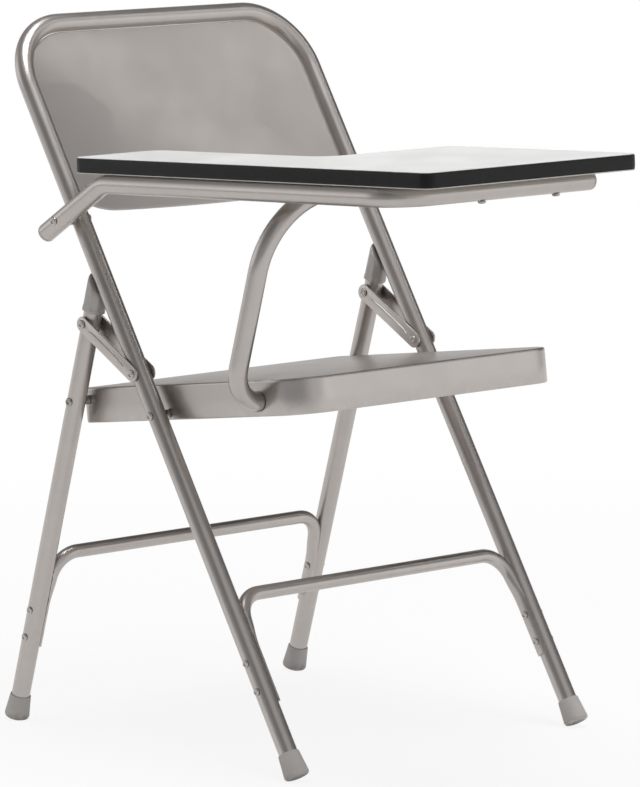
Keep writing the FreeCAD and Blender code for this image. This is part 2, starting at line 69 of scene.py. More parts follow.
# Cross braces: the axis stands in from the leg's axis, and the ends are pressed round the leg
BRACE_R = 8.15
BRACE_STAND = 12.0
BRACE_BEND = 34.0
BRACE_END = 92.0
BRACE_SHEET = 1.8
BRACE_SWELL = 0.4
PRESS_RUN = 36.0

# Seat, tablet, arm and strut
SEAT_FRONT_Y = -214.998
SEAT_FRONT_UP = 453.244
SEAT_SIDE = 209.0
SEAT_LENGTH = 383.15
SEAT_SHEET = 1.5
SEAT_CROWN = 2.8
SEAT_TILT = -7.42
TABLET_UP = 688.14
TABLET_TILT = -2.325
TABLET_THICK = 18.5
ARM_X = -257.0
ARM_DROP = TABLET_THICK + FIT + TUBE_R
ARM_FRONT_Y = -424.0
ARM_REAR_Y = 66.0
ARM_TIP_X = 35.0
ARM_TAIL = 28.5
STRUT_X = -251.0
STRUT_TOP_Y = -213.8924
STRUT_FOOT_END = -196.0
STRUT_TOP_END = -100.0
REST_PLATE = 2.0
REST_GAP = 3.3
MOUTH_R = 12.2


def leaning(y, z, degrees):
    """From local millimetres, leaned about X, to the row frame's metres."""
    turn = Matrix.Rotation(math.radians(degrees), 4, "X")
    return Matrix.Scale(MM, 4) @ Matrix.Translation(SHIFT + Vector((0, y, z))) @ turn


# Local Z runs up the post and up the rear leg; local Y runs back along the seat and the tablet.
CHAIR = leaning(0, 0, 0)
POST = leaning(FRONT_FOOT_Y, 0, -POST_LEAN)
REAR = leaning(REAR_FOOT_Y, 0, REAR_LEAN)
SEAT = leaning(SEAT_FRONT_Y, SEAT_FRONT_UP, SEAT_TILT)
TABLET = leaning(0, TABLET_UP, TABLET_TILT)

POST_LINK_PIVOT = POST @ Vector((0, 0, 511.2))
LEG_LINK_PIVOT = REAR @ Vector((0, 0, 506.1))
SEAT_PIVOT = POST @ Vector((0, 0, 456.9))
SEAT_STUB = REAR @ Vector((0, 0, 407.6))
ARM_PIVOT = POST @ Vector((0, 0, 712.0))
STRUT_PIVOT = SEAT @ Vector((0, 73.0, -23.8))


def at_x(point, x):
    """The point of the row frame moved to x millimetres across the chair."""
    return Vector(((x + SHIFT.x) * MM, point.y, point.z))


# Shapes as (points, faces) pairs

POLE_R = 0.02
LEAST_R = 0.15


def along_edge(start, end, count):
    return [start.lerp(end, i / (count + 1)) for i in range(1, count + 1)]


def outline(corners, steps, along=(0,)):
    """A closed line through (x, y, radius) corners taken anticlockwise, each turned on its radius.

    The counts in along are the points added on the straight lines, taken in turn."""
    arcs = []
    for before, here, after in zip(corners[-1:] + corners[:-1], corners, corners[1:] + corners[:1]):
        tip = Vector(here[:2])
        back, on = [(Vector(p[:2]) - tip).normalized() for p in (before, after)]
        half_angle = back.angle(on) / 2
        reach = here[2] / math.tan(half_angle)
        middle = tip + (back + on).normalized() * here[2] / math.sin(half_angle)
        spoke = tip + back * reach - middle
        left_turn = back.x * on.y - back.y * on.x < 0
        sweep = (math.pi - 2 * half_angle) * (1 if left_turn else -1)
        arcs.append([middle + Matrix.Rotation(sweep * i / steps, 2) @ spoke for i in range(steps + 1)])
    points = []
    for i, (arc, following) in enumerate(zip(arcs, arcs[1:] + arcs[:1])):
        points += arc + along_edge(arc[-1], following[0], along[i % len(along)])
    return points


def inset(corners, depth):
    """The same corners moved in from both their edges, so that the line between them is depth inside."""
    inner = []
    for before, here, after in zip(corners[-1:] + corners[:-1], corners, corners[1:] + corners[:1]):
        tip = Vector(here[:2])
        into, out = (tip - Vector(before[:2])).normalized(), (Vector(after[:2]) - tip).normalized()
        first, second = Vector((-into.y, into.x)), Vector((-out.y, out.x))
        place = tip + (first + second) / (1 + first.dot(second)) * depth
        convex = into.x * out.y - into.y * out.x > 0
        radius = here[2] - depth if convex else here[2] + depth
        inner.append((place.x, place.y, max(radius, LEAST_R)))
    return inner


def ladder(loop):
    """Faces across a loop whose second half runs back beside its first."""
    last = len(loop) - 1
    return [(loop[i], loop[i + 1], loop[last - i - 1], loop[last - i]) for i in range(last // 2)]


def skin(loops, ring=False, rungs=False):
    """Joins loops with equal counts one after another; the ends are capped, or joined up as a ring."""
    count, points, faces = len(loops[0]), [], []
    for loop in loops:
        points += [Vector(p) for p in loop]
    pairs = [(i, i + 1) for i in range(len(loops) - 1)] + ([(len(loops) - 1, 0)] if ring else [])
    for a, b in pairs:
        for i in range(count):
            j = (i + 1) % count
            faces.append((a * count + i, a * count + j, b * count + j, b * count + i))
    first, last = list(range(count))[::-1], list(range((len(loops) - 1) * count, len(loops) * count))
    if rungs:
        faces += ladder(first) + ladder(last)
    elif not ring:
        faces += [tuple(first), tuple(last)]
    return points, faces


def circle(radius, sides):
    angles = [2 * math.pi * i / sides for i in range(sides)]
    return [(radius * math.cos(a), radius * math.sin(a)) for a in angles]


def turned(profile, sides):
    """A turned shape round Z from (radius, height) pairs."""
    loops = [[(x, y, height) for x, y in circle(max(radius, POLE_R), sides)] for radius, height in profile]
    return skin(loops)


def moved(shape, matrix):
    return [matrix @ p for p in shape[0]], shape[1]


def together(shapes):
    points, faces = [], []
    for some_points, some_faces in shapes:
        start = len(points)
        points += some_points
        faces += [tuple(i + start for i in face) for face in some_faces]
    return points, faces


def facing(point, axis):
    """A frame of millimetres at a point of the row frame with its Z along axis."""
    turn = Vector(axis).to_track_quat("Z", "Y").to_matrix().to_4x4()
    return Matrix.Translation(point) @ turn @ Matrix.Scale(MM, 4)


# Meshes and finished pieces

MERGE = 1e-6
FULL_EDGE = 0.7


@contextmanager
def opened(mesh):
    """The mesh opened for work on its points and faces, and closed again afterwards."""
    work = bmesh.new()
    work.from_mesh(mesh)
    yield work
    work.to_mesh(mesh)
    work.free()


def closed_up(mesh):
    """Merges doubled points and turns the faces outwards."""
    with opened(mesh) as work:
        bmesh.ops.remove_doubles(work, verts=work.verts, dist=MERGE)
        bmesh.ops.recalc_face_normals(work, faces=work.faces)
    return mesh


def mesh_of(name, shape):
    mesh = bpy.data.meshes.new(name)
    mesh.from_pydata([tuple(p) for p in shape[0]], [], shape[1])
    return closed_up(mesh)


def mark_edges(mesh):
    """Stores how sharply the faces turn at each point, for wear along the edges."""
    with opened(mesh) as work:
        layer = work.verts.layers.float.new("edge")
        for vert in work.verts:
            angles = [e.calc_face_angle(0.0) for e in vert.link_edges]
            vert[layer] = min(max(angles, default=0.0) / FULL_EDGE, 1.0)


def evaluated(obj):
    """The plain mesh that an object's modifiers make; the modifiers are then taken off."""
    bpy.context.view_layer.update()
    mesh = bpy.data.meshes.new_from_object(obj.evaluated_get(bpy.context.evaluated_depsgraph_get()))
    obj.modifiers.clear()
    return mesh


def linked(name, data):
    obj = bpy.data.objects.new(name, data)
    scene.collection.objects.link(obj)
    return obj


def placed(name, mesh, finish, body, nodes, sharp=38):
    """The finished piece: its mesh, material, the body it rides on and the nodes it stands for."""
    mark_edges(mesh)
    mesh.shade_smooth()
    mesh.set_sharp_from_angle(angle=math.radians(sharp))
    mesh.materials.clear()
    mesh.materials.append(finish)
    obj = linked(name, mesh)
    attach(obj, body)
    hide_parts(*nodes)


def piece(name, shape, finish, body, nodes):
    placed(name, mesh_of(name, shape), finish, body, nodes)


# Node trees and their maths


class Wire:
    """A socket's value; arithmetic on it adds Math nodes to its tree."""

    def __init__(self, nodes, socket):
        self.nodes = nodes
        self.socket = socket

    def math(self, operation, first, second):
        return self.nodes.make("ShaderNodeMath", {"operation": operation}, {0: first, 1: second})

    def __add__(self, other):
        return self.math("ADD", self, other)

    def __sub__(self, other):
        return self.math("SUBTRACT", self, other)

    def __rsub__(self, other):
        return self.math("SUBTRACT", other, self)

    def __mul__(self, other):
        return self.math("MULTIPLY", self, other)

    __radd__ = __add__
    __rmul__ = __mul__


class Nodes:
    """A node tree that is added to node by node."""

    def __init__(self, tree):
        self.tree = tree

    def make(self, kind, settings=None, sockets=None, out=0):
        made = self.tree.nodes.new(kind)
        for key, value in (settings or {}).items():
            setattr(made, key, value)
        for key, value in (sockets or {}).items():
            if isinstance(value, Wire):
                self.tree.links.new(value.socket, made.inputs[key])
            else:
                made.inputs[key].default_value = value
        return Wire(self, made.outputs[out])

    def range(self, value, low, high, to_low=0.0, to_high=1.0):
        return self.make("ShaderNodeMapRange", {"clamp": True, "interpolation_type": "SMOOTHSTEP"},
                         {0: value, 1: low, 2: high, 3: to_low, 4: to_high})

    def along(self, vector, direction):
        """How far a vector reaches in a direction."""
        return self.make("ShaderNodeVectorMath", {"operation": "DOT_PRODUCT"},
                         {0: vector, 1: direction}, "Value")

    def ends_in(self, shader, output):
        self.tree.links.new(shader.socket, self.tree.nodes[output].inputs["Surface"])


class Finish(Nodes):
    """A material with one shader, built from its own maths."""

    def __init__(self, name, **constants):
        self.material = bpy.data.materials.new(name)
        self.material.use_nodes = True
        super().__init__(self.material.node_tree)
        self.shader = self.tree.nodes["Principled BSDF"]
        for socket, value in constants.items():
            self.shader.inputs[socket.replace("_", " ")].default_value = value

    def place(self, stretch=(1, 1, 1)):
        where = self.make("ShaderNodeTexCoord", out="Object")
        return self.make("ShaderNodeMapping", {}, {"Vector": where, "Scale": stretch})

    def noise(self, scale, detail=3.0, stretch=(1, 1, 1), roughness=0.55):
        return self.make("ShaderNodeTexNoise", {"normalize": True},
                         {"Vector": self.place(stretch), "Scale": scale, "Detail": detail,
                          "Roughness": roughness})

    def attribute(self, name):
        return self.make("ShaderNodeAttribute", {"attribute_name": name}, out="Fac")

    def blend(self, amount, first, second):
        return self.make("ShaderNodeMix", {"data_type": "RGBA"}, {0: amount, 6: first, 7: second}, 2)

    def bump(self, height, distance, strength):
        return self.make("ShaderNodeBump", {},
                         {"Height": height, "Distance": distance, "Strength": strength})

    def feed(self, **links):
        for socket, wire in links.items():
            self.tree.links.new(wire.socket, self.shader.inputs[socket.replace("_", " ")])
        return self.material


# Finishes


def linear(red, green, blue):
    """A colour written as it is seen, 0 to 255, turned to the scene's linear values."""
    def channel(value):
        value /= 255
        return value / 12.92 if value <= 0.04045 else ((value + 0.055) / 1.055) ** 2.4
    return (channel(red), channel(green), channel(blue), 1.0)


def grey_enamel():
    """Baked enamel with a fine metal flake: faint orange peel, rubbed paler edges and a few fine scuffs."""
    finish = Finish("grey_enamel", Metallic=0.86, Specular_IOR_Level=0.5,
                    Specular_Tint=(0.95, 0.91, 0.88, 1.0), Coat_Roughness=0.17)
    cloud = finish.range(finish.noise(5.0, 3.0), 0.3, 0.7)
    flake = finish.range(finish.noise(1500.0, 2.0), 0.45, 0.75)
    scuff = finish.range(finish.noise(95.0, 6.0, (1.0, 1.0, 5.0), 0.7), 0.72, 0.82)
    rub = finish.attribute("edge") * finish.range(finish.noise(55.0, 5.0), 0.40, 0.66)
    tone = finish.blend(cloud, linear(182, 176, 172), linear(186, 180, 176))
    tone = finish.blend(flake * 0.16, tone, linear(158, 152, 148))
    tone = finish.blend(scuff * 0.20, tone, linear(199, 195, 191))
    tone = finish.blend(rub * 0.40, tone, linear(208, 204, 200))
    rough = finish.range(finish.noise(22.0, 4.0), 0.3, 0.7, 0.29, 0.335) + scuff * 0.08
    peel = finish.noise(520.0, 2.0) - scuff * 0.3
    return finish.feed(Base_Color=tone, Roughness=rough, Coat_Weight=0.18 - rub * 0.14,
                       Normal=finish.bump(peel, 0.00002, 0.3))


def foot_rubber():
    """Moulded grey rubber, dull and slightly dusty towards the floor."""
    finish = Finish("foot_rubber", Specular_IOR_Level=0.35)
    cloud = finish.range(finish.noise(40.0, 5.0), 0.35, 0.7)
    height = finish.make("ShaderNodeSeparateXYZ", {}, {0: finish.place()}, "Z")
    dust = finish.range(height, 0.012, 0.0) * finish.range(finish.noise(150.0, 4.0), 0.35, 0.65)
    rub = finish.attribute("edge") * finish.range(finish.noise(90.0, 4.0), 0.4, 0.6)
    tone = finish.blend(cloud, linear(189, 184, 180), linear(198, 193, 189))
    tone = finish.blend(dust * 0.55, tone, linear(112, 106, 100))
    tone = finish.blend(rub * 0.3, tone, linear(164, 160, 156))
    rough = finish.range(cloud, 0.0, 1.0, 0.62, 0.76)
    grain = finish.noise(900.0, 3.0)
    return finish.feed(Base_Color=tone, Roughness=rough, Normal=finish.bump(grain, 0.00008, 0.6))


def grey_plastic():
    """Moulded plastic of the caps and tube ends, close to the enamel in tone."""
    finish = Finish("grey_plastic", Metallic=0.35, Specular_IOR_Level=0.45)
    cloud = finish.range(finish.noise(30.0, 4.0), 0.35, 0.7)
    grain = finish.noise(1100.0, 3.0)
    rub = finish.attribute("edge") * finish.range(finish.noise(70.0, 4.0), 0.42, 0.62)
    tone = finish.blend(cloud, linear(170, 165, 161), linear(178, 173, 169))
    tone = finish.blend(rub * 0.45, tone, linear(192, 188, 184))
    rough = finish.range(cloud, 0.0, 1.0, 0.36, 0.43)
    return finish.feed(Base_Color=tone, Roughness=rough, Normal=finish.bump(grain, 0.00007, 0.5))


def pale_laminate():
    """Pale writing surface: a very fine grain with faint pencil-hard scratches."""
    finish = Finish("pale_laminate", Specular_IOR_Level=0.5, Coat_Weight=0.1, Coat_Roughness=0.2)
    cloud = finish.range(finish.noise(14.0, 4.0), 0.3, 0.7)
    fleck = finish.range(finish.noise(700.0, 2.0), 0.60, 0.72)
    scratch = finish.range(finish.noise(38.0, 8.0, (1.0, 14.0, 1.0), 0.75), 0.68, 0.76)
    tone = finish.blend(cloud, linear(228, 228, 227), linear(235, 235, 234))
    tone = finish.blend(fleck * 0.14, tone, linear(205, 205, 203))
    tone = finish.blend(scratch * 0.10, tone, linear(196, 196, 195))
    rough = finish.range(cloud, 0.0, 1.0, 0.36, 0.44) + scratch * 0.12
    grain = finish.noise(1500.0, 2.0) - scratch * 0.5
    return finish.feed(Base_Color=tone, Roughness=rough, Normal=finish.bump(grain, 0.00004, 0.45))


def black_edging():
    """Black edge strip with a fine ribbed pull along it and greyed high spots."""
    finish = Finish("black_edging", Specular_IOR_Level=0.2)
    pull = finish.noise(240.0, 3.0, (1.0, 1.0, 9.0))
    cloud = finish.range(finish.noise(45.0, 4.0), 0.4, 0.7)
    rub = finish.attribute("edge") * finish.range(finish.noise(80.0, 4.0), 0.45, 0.65)
    tone = finish.blend(cloud, linear(27, 27, 27), linear(33, 33, 33))
    tone = finish.blend(rub * 0.2, tone, linear(80, 79, 78))
    rough = finish.range(cloud, 0.0, 1.0, 0.40, 0.50)
    return finish.feed(Base_Color=tone, Roughness=rough, Normal=finish.bump(pull, 0.00006, 0.5))


def backer_sheet():
    """Pale matte sheet under the tablet, slightly fibrous."""
    finish = Finish("backer_sheet", Specular_IOR_Level=0.3)
    fibre = finish.noise(160.0, 6.0, (1.0, 5.0, 1.0))
    stain = finish.range(finish.noise(8.0, 4.0), 0.45, 0.75)
    tone = finish.blend(finish.range(fibre, 0.35, 0.65), linear(214, 211, 204), linear(224, 222, 216))
    tone = finish.blend(stain * 0.3, tone, linear(196, 191, 181))
    rough = finish.range(fibre, 0.3, 0.7, 0.60, 0.72)
    return finish.feed(Base_Color=tone, Roughness=rough, Normal=finish.bump(fibre, 0.00008, 0.5))


def chip_board():
    """Pressed wood chips of the tablet's core."""
    finish = Finish("chip_board", Specular_IOR_Level=0.25)
    chips = finish.make("ShaderNodeTexVoronoi", {"feature": "F1"},
                        {"Vector": finish.place((1, 1, 2.5)), "Scale": 420.0})
    tint = finish.noise(300.0, 4.0)
    tone = finish.blend(finish.range(tint, 0.3, 0.7), linear(150, 118, 82), linear(193, 163, 124))
    rough = finish.range(tint, 0.3, 0.7, 0.75, 0.9)
    return finish.feed(Base_Color=tone, Roughness=rough, Normal=finish.bump(chips, 0.0003, 0.6))


def plated_steel():
    """Dulled plated steel of spacers and small fittings."""
    finish = Finish("plated_steel", Metallic=1.0)
    brush = finish.noise(330.0, 4.0, (8.0, 1.0, 1.0))
    tarnish = finish.range(finish.noise(70.0, 5.0), 0.45, 0.7)
    tone = finish.blend(tarnish, linear(176, 174, 171), linear(128, 123, 117))
    rough = finish.range(tarnish, 0.0, 1.0, 0.34, 0.55)
    return finish.feed(Base_Color=tone, Roughness=rough, Normal=finish.bump(brush, 0.00005, 0.5))


ENAMEL = grey_enamel()
RUBBER = foot_rubber()
PLASTIC = grey_plastic()
LAMINATE = pale_laminate()
EDGING = black_edging()
BACKER = backer_sheet()
CHIPS = chip_board()
STEEL = plated_steel()


# Tubes and fastenings grown by node trees

TUBE_SIDES = 48
BEND_STEPS = 20
RING_SPACING = 5.0
HEAD_SIDES = 28


class Growth(Nodes):
    """A geometry tree with named inputs that ends in real geometry with its finish."""

    def __init__(self, name, inputs):
        super().__init__(bpy.data.node_groups.new(name, "GeometryNodeTree"))
        sockets = self.tree.interface
        sockets.new_socket("Geometry", in_out="OUTPUT", socket_type="NodeSocketGeometry")
        sockets.new_socket("Geometry", in_out="INPUT", socket_type="NodeSocketGeometry")
        self.keys = {}
        for label, kind in inputs.items():
            self.keys[label] = sockets.new_socket(label, in_out="INPUT", socket_type=kind).identifier
        self.inlet = self.tree.nodes.new("NodeGroupInput")
        self.outlet = self.tree.nodes.new("NodeGroupOutput")

    def given(self, label):
        return Wire(self, self.inlet.outputs[label])

    def end(self, geometry):
        real = self.make("GeometryNodeRealizeInstances", {}, {"Geometry": geometry})
        coated = self.make("GeometryNodeSetMaterial", {},
                           {"Geometry": real, "Material": self.given("Finish")})
        self.tree.links.new(coated.socket, self.outlet.inputs[0])
        return self


def bent_tube_tree():
    """A line whose points carry their bend radius, turned into a closed tube with evenly spaced rings."""
    grow = Growth("bent_tube", {"Radius": "NodeSocketFloat", "Sides": "NodeSocketInt",
                                "Bend steps": "NodeSocketInt", "Ring spacing": "NodeSocketFloat",
                                "Finish": "NodeSocketMaterial"})
    line = grow.make("GeometryNodeMeshToCurve", {}, {"Mesh": grow.given("Geometry")})
    bend = grow.make("GeometryNodeInputNamedAttribute", {"data_type": "FLOAT"}, {"Name": "bend"})
    bent = grow.make("GeometryNodeFilletCurve", {"mode": "POLY"},
                     {"Curve": line, "Count": grow.given("Bend steps"), "Radius": bend,
                      "Limit Radius": False})
    spaced = grow.make("GeometryNodeResampleCurve", {"mode": "LENGTH"},
                       {"Curve": bent, "Length": grow.given("Ring spacing")})
    ring = grow.make("GeometryNodeCurvePrimitiveCircle", {},
                     {"Resolution": grow.given("Sides"), "Radius": grow.given("Radius")})
    return grow.end(grow.make("GeometryNodeCurveToMesh", {},
                              {"Curve": spaced, "Profile Curve": ring, "Fill Caps": True}))


def fastening_tree():
    """A head set on each point, turned to the way that the point carries."""
    grow = Growth("fastenings", {"Head": "NodeSocketObject", "Finish": "NodeSocketMaterial"})
    head = grow.make("GeometryNodeObjectInfo", {}, {"Object": grow.given("Head")}, "Geometry")
    way = grow.make("GeometryNodeInputNamedAttribute", {"data_type": "FLOAT_VECTOR"}, {"Name": "facing"})
    turn = grow.make("FunctionNodeAlignRotationToVector", {"axis": "Z"}, {"Vector": way})
    return grow.end(grow.make("GeometryNodeInstanceOnPoints", {},
                              {"Points": grow.given("Geometry"), "Instance": head, "Rotation": turn}))


BENT_TUBE = bent_tube_tree()
FASTENINGS = fastening_tree()


def grown(name, points, edges, attribute, kind, values, tree, settings):
    """Runs a tree on points that carry one attribute and returns the plain mesh that it makes."""
    seed = bpy.data.meshes.new(name + "_line")
    seed.from_pydata([tuple(p) for p in points], edges, [])
    layer = seed.attributes.new(attribute, kind, "POINT")
    for item, value in zip(layer.data, values):
        if kind == "FLOAT":
            item.value = value
        else:
            item.vector = value
    holder = linked(name + "_holder", seed)
    modifier = holder.modifiers.new("grow", "NODES")
    modifier.node_group = tree.tree
    for label, value in settings.items():
        modifier[tree.keys[label]] = value
    mesh = evaluated(holder)
    bpy.data.objects.remove(holder)
    bpy.data.meshes.remove(seed)
    mesh.name = name
    return mesh


def tube_piece(name, runs, body, nodes):
    """Bent tubes along runs of (point, bend radius) pairs, as one piece."""
    points, edges, bends = [], [], []
    for run in runs:
        start = len(points)
        points += [p for p, bend in run]
        bends += [bend * MM for p, bend in run]
        edges += [(start + i, start + i + 1) for i in range(len(run) - 1)]
    mesh = grown(name, points, edges, "bend", "FLOAT", bends, BENT_TUBE,
                 {"Radius": TUBE_R * MM, "Sides": TUBE_SIDES, "Bend steps": BEND_STEPS,
                  "Ring spacing": RING_SPACING * MM, "Finish": ENAMEL})
    placed(name, closed_up(mesh), ENAMEL, body, nodes)


def heads_mesh(name, spots, profile, finish):
    """A turned head at each (point, direction) spot."""
    head = moved(turned(profile, HEAD_SIDES), Matrix.Scale(MM, 4))
    template = linked(name + "_head", mesh_of(name + "_head", head))
    mesh = grown(name, [p for p, way in spots], [], "facing", "FLOAT_VECTOR", [way for p, way in spots],
                 FASTENINGS, {"Head": template, "Finish": finish})
    bpy.data.objects.remove(template)
    return mesh


def heads_piece(name, spots, profile, finish, body, nodes, more=None):
    """Heads as one piece, with any further turned shapes joined to them."""
    mesh = heads_mesh(name, spots, profile, finish)
    if more:
        extra = mesh_of(name + "_more", more)
        with opened(mesh) as work:
            work.from_mesh(extra)
        bpy.data.meshes.remove(extra)
    placed(name, mesh, finish, body, nodes, sharp=30)


# Rivets: rolled-over heads with a dimple, and turned parts, as (radius, height) in millimetres

RIVET_HEAD = [(2.7, -3.0), (2.7, 0), (4.7, 0), (5.1, 0.25), (5.1, 0.7), (4.8, 1.25), (4.2, 1.75),
              (3.5, 2.0), (2.9, 1.95), (2.4, 1.5), (2.0, 0.9), (1.3, 0.65), (0, 0.6)]
BRACE_HEAD = [(2.3, -2.0), (2.3, 0), (4.1, 0), (4.5, 0.25), (4.45, 0.7), (3.9, 1.25), (3.2, 1.55),
              (2.6, 1.5), (2.2, 1.1), (1.8, 0.5), (1.1, 0.3), (0, 0.3)]
PAN_SCREW = [(2.1, -2.0), (2.1, 0), (4.5, 0), (4.75, 0.3), (4.7, 1.0), (4.2, 1.9), (3.2, 2.6),
             (2.2, 2.85), (1.5, 2.9), (1.2, 2.5), (0.9, 1.7), (0, 1.6)]
STUB_BARREL = [(4.6, 0), (5.3, 0.5), (5.3, 5.7), (4.6, 6.2)]


def sideways(point, x_out, x_in):
    """Two spots on one rivet along X: its head at x_out and its head at x_in."""
    way = math.copysign(1, x_out - x_in)
    return [(at_x(point, x_out), (way, 0, 0)), (at_x(point, x_in), (-way, 0, 0))]


def painted_rivets(label, spots, body, node, profile=RIVET_HEAD):
    heads_piece(label + "_heads", spots, profile, ENAMEL, body, [node])


def rivets():
    link_spots, leg_spots, seat_spots, stub_spots, stubs = [], [], [], [], []
    for sign in SIDES:
        out, inside = sign * (OUTER + HEAD_OUT), sign * (INNER - HEAD_OUT)
        link_spots += sideways(POST_LINK_PIVOT, out, inside)
        leg_spots += sideways(LEG_LINK_PIVOT, out, inside)
        seat_spots += sideways(SEAT_PIVOT, sign * (OUTER + FIT), sign * (SEAT_SIDE - SEAT_SHEET))
        stub_spots.append((at_x(SEAT_STUB, sign * (OUTER + FIT)), (sign, 0, 0)))
        stub_place = facing(at_x(SEAT_STUB, sign * (SEAT_SIDE + FIT)), (sign, 0, 0))
        stubs.append(moved(turned(STUB_BARREL, HEAD_SIDES), stub_place))
    painted_rivets("post_link_rivet", link_spots, "frame", "post_link_rivets")
    painted_rivets("leg_link_rivet", leg_spots, "hinge_links", "leg_link_rivets")
    painted_rivets("seat_pivot_rivet", seat_spots, "frame", "seat_pivot_rivets")
    heads_piece("seat_stub_heads", stub_spots, RIVET_HEAD, STEEL, "rear_legs",
                ["seat_rear_stubs"], together(stubs))
    arm_spots = sideways(ARM_PIVOT, ARM_X - TUBE_R - FIT, -INNER + FIT)
    painted_rivets("arm_rivet", arm_spots, "frame", "arm_rivet")


# Tubes and their closed ends, the ends as (radius, height) in millimetres

STRUT_STOPPER = [(7.0, -3), (10.6, 0.15), (11.05, 0.5), (10.9, 1.9), (9.6, 3.6), (7.0, 4.8), (3.5, 5.3),
                 (0, 5.5)]
ARM_STOPPER = [(7, -3), (11.05, 0.15), (11.05, 2.6), (10.6, 3.9), (9.6, 4.7), (8.2, 5.0), (4, 5.2),
               (0, 5.25)]


def stoppers(name, shape, ends, body, node):
    shapes = [moved(shape, facing(point, way)) for point, way in ends]
    piece(name, together(shapes), PLASTIC, body, [node])


def bow_frame():
    """The posts and the bow over the back, one tube."""
    line = [(-HALF, TUBE_FOOT, 0), (-HALF, POST_TOP, BOW_BEND),
            (HALF, POST_TOP, BOW_BEND), (HALF, TUBE_FOOT, 0)]
    run = [(POST @ Vector((x, 0, height)), bend) for x, height, bend in line]
    tube_piece("bow_frame", [run], "frame", ["front_frame"])


def rear_legs():
    runs = []
    for sign in SIDES:
        runs.append([(REAR @ Vector((sign * HALF, 0, height)), 0) for height in (TUBE_FOOT, REAR_TOP)])
    tube_piece("rear_legs_tubes", runs, "rear_legs", ["rear_leg_right", "rear_leg_left"])


def strut():
    """From inside the seat's skirt, up beside it and in under the tablet."""
    foot_bend, top_bend = 45, 90
    top = TABLET @ Vector((0, STRUT_TOP_Y, -TABLET_THICK - REST_PLATE - REST_GAP - TUBE_R))
    low_end, high_end = at_x(STRUT_PIVOT, STRUT_FOOT_END), at_x(top, STRUT_TOP_END)
    run = [(low_end, 0), (at_x(STRUT_PIVOT, STRUT_X), foot_bend),
           (at_x(top, STRUT_X), top_bend), (high_end, 0)]
    tube_piece("strut_bent_tube", [run], "strut", ["strut_tube"])
    ends = [(low_end, (1, 0, 0)), (high_end, (1, 0, 0))]
    stoppers("strut_stoppers", turned(STRUT_STOPPER, 40), ends, "strut", "strut_end_plugs")


def arm():
    """From behind the post, along the tablet's outer edge and in under its front."""
    rear_bend, front_bend = 40, 45
    bend = TABLET @ Vector((ARM_X, ARM_REAR_Y, -ARM_DROP))
    corner = TABLET @ Vector((ARM_X, ARM_FRONT_Y, -ARM_DROP))
    tip = TABLET @ Vector((ARM_TIP_X, ARM_FRONT_Y, -ARM_DROP))
    pivot = at_x(ARM_PIVOT, ARM_X)
    backward = (pivot - bend).normalized()
    tail = pivot + backward * ARM_TAIL * MM
    run = [(tail, 0), (bend, rear_bend), (corner, front_bend), (tip, 0)]
    tube_piece("arm_bent_tube", [run], "arm", ["arm_tube"])
    ends = [(tail, backward), (tip, (1, 0, 0))]
    stoppers("arm_stoppers", turned(ARM_STOPPER, TUBE_SIDES), ends, "arm", "arm_end_plugs")


# Cross braces


def saddle(level, press_end):
    """The thickness of a brace's pressed end, which grows towards its bend."""
    return BRACE_SHEET * (1 + BRACE_SWELL * min(level / press_end, 1.0))


def brace_stations(press_end):
    """Up one side of a brace: (way in from the leg's axis, level, turn from upright, how far pressed)."""
    stations = []
    straight_steps, bend_steps, overlap = 12, 16, 4
    for i in range(straight_steps + 1):
        level = BRACE_END + (press_end - BRACE_END) * i / straight_steps
        pressed = min(max((press_end + overlap - level) / PRESS_RUN, 0), 1)
        stations.append((BRACE_STAND, level, 0.0, pressed * pressed * (3 - 2 * pressed)))
    for i in range(1, bend_steps + 1):
        turn = math.pi / 2 * i / bend_steps
        across = BRACE_STAND + BRACE_BEND * (1 - math.cos(turn))
        stations.append((across, press_end + BRACE_BEND * math.sin(turn), turn, 0.0))
    return stations


def brace_loop(place, sign, station, press_end):
    """One section: the side towards the inside of the bend, then the side against the leg."""
    centre, level, turn, pressed = station
    hug, sheet = TUBE_R + FIT, saddle(level, press_end)
    half_steps, clear_turn, least = 16, 1.2, 0.02
    inner_side, leg_side = [], []
    for i in range(half_steps + 1):
        theta = math.pi * (i / half_steps - 0.5)
        y, round_out = BRACE_R * math.sin(theta), BRACE_R * math.cos(theta)
        wrap_out = math.sqrt((hug + sheet) ** 2 - y * y) - centre
        wrap_in = math.sqrt(hug * hug - y * y) - centre
        out = (1 - pressed) * round_out + pressed * wrap_out
        near = -(1 - pressed) * round_out + pressed * wrap_in
        if turn < clear_turn:
            near = max(near, wrap_in / math.cos(turn))
            out = max(out, near + least)
        inner_side.append((out, y))
        leg_side.append((near, y))
    loop = []
    for reach, y in inner_side + leg_side[::-1]:
        across = centre + reach * math.cos(turn)
        loop.append(place @ Vector((sign * (HALF - across), y, level - reach * math.sin(turn))))
    return loop


def brace(label, place, height, rivet_levels, body):
    """A thin tube bent down at both ends, pressed round the legs and held by two rivets at each."""
    press_end = height - BRACE_BEND
    stations = brace_stations(press_end)
    loops = [brace_loop(place, -1, s, press_end) for s in stations]
    loops += [brace_loop(place, 1, s, press_end) for s in stations[::-1]]
    piece(label + "_pressed_tube", skin(loops), ENAMEL, body, [label])
    spots = []
    for sign in SIDES:
        for level in rivet_levels:
            inside = INNER - 2 * FIT - saddle(level, press_end)
            spots += sideways(place @ Vector((0, 0, level)), sign * (OUTER + FIT), sign * inside)
    painted_rivets(label + "_rivet", spots, body, label + "_rivets", BRACE_HEAD)


def braces():
    brace("front_brace", POST, 225.2, (108.8, 143.9), "frame")
    brace("rear_brace", REAR, 209.4, (104.1, 139.3), "rear_legs")


# Feet and leg caps

